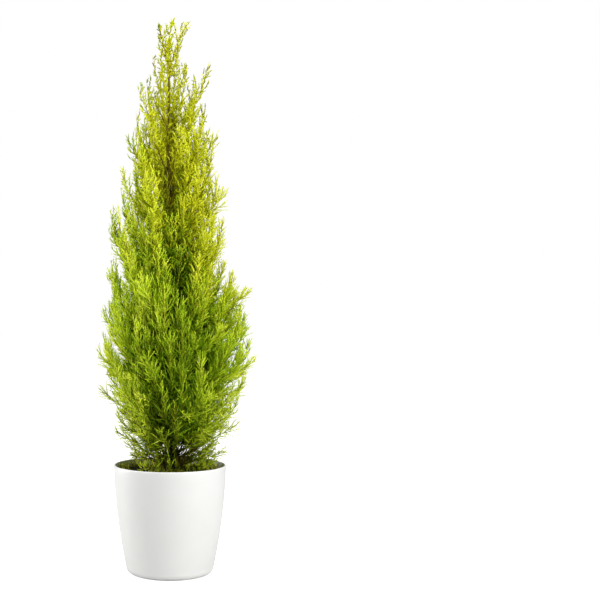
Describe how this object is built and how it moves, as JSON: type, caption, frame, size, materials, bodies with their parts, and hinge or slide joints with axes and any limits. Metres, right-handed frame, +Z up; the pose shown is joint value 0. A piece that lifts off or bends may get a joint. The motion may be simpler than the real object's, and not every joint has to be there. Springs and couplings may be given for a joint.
{
  "type": "potted golden cypress",
  "caption": "Slim, loose cone of feathery golden cypress foliage on a thin brown trunk, in a plain round white plastic pot of soil.",
  "frame": {"origin": "middle of the pot's flat underside", "axes": "+Z up along the trunk, +X to the right and -Y to the front, as the plant is seen from its front"},
  "size_m": [0.2613, 0.2505, 0.8942],
  "materials": {
    "white_plastic": "satin",
    "potting_soil": "matte",
    "bark": "matte",
    "foliage_green": "matte",
    "foliage_lime": "matte",
    "foliage_yellow": "matte"
  },
  "bodies": {
    "root": {"bough_11": "bark", "bough_12": "bark", "bough_13": "bark", "bough_14": "bark", "bough_15": "bark", "bough_16": "bark", "bough_17": "bark", "bough_18": "bark", "bough_19": "bark", "bough_20": "bark", "bough_21": "bark", "bough_22": "bark", "bough_23": "bark", "bough_24": "bark", "bough_25": "bark", "bough_26": "bark", "bough_27": "bark", "bough_28": "bark", "foliage_01": "foliage_green", "foliage_02": "foliage_green", "foliage_03": "foliage_green", "foliage_04": "foliage_green", "foliage_05": "foliage_green", "foliage_06": "foliage_green", "foliage_07": "foliage_green", "foliage_08": "foliage_green", "foliage_09": "foliage_green", "foliage_10": "foliage_green", "foliage_11": "foliage_green", "foliage_12": "foliage_green", "foliage_13": "foliage_green", "foliage_14": "foliage_lime", "foliage_15": "foliage_lime", "foliage_16": "foliage_lime", "foliage_17": "foliage_lime", "foliage_18": "foliage_lime", "foliage_19": "foliage_lime", "foliage_20": "foliage_lime", "foliage_21": "foliage_lime", "foliage_22": "foliage_lime", "foliage_23": "foliage_lime", "foliage_24": "foliage_lime", "foliage_25": "foliage_lime", "foliage_26": "foliage_lime", "foliage_27": "foliage_lime", "foliage_28": "foliage_yellow", "foliage_29": "foliage_yellow", "foliage_30": "foliage_yellow", "foliage_31": "foliage_yellow", "foliage_32": "foliage_yellow", "foliage_33": "foliage_yellow", "foliage_34": "foliage_yellow", "foliage_35": "foliage_yellow", "foliage_36": "foliage_yellow", "foliage_37": "foliage_yellow", "foliage_38": "foliage_yellow", "foliage_leader": "foliage_yellow", "pot": "white_plastic", "soil": "potting_soil", "trunk": "bark"}
  },
  "joints": []
}
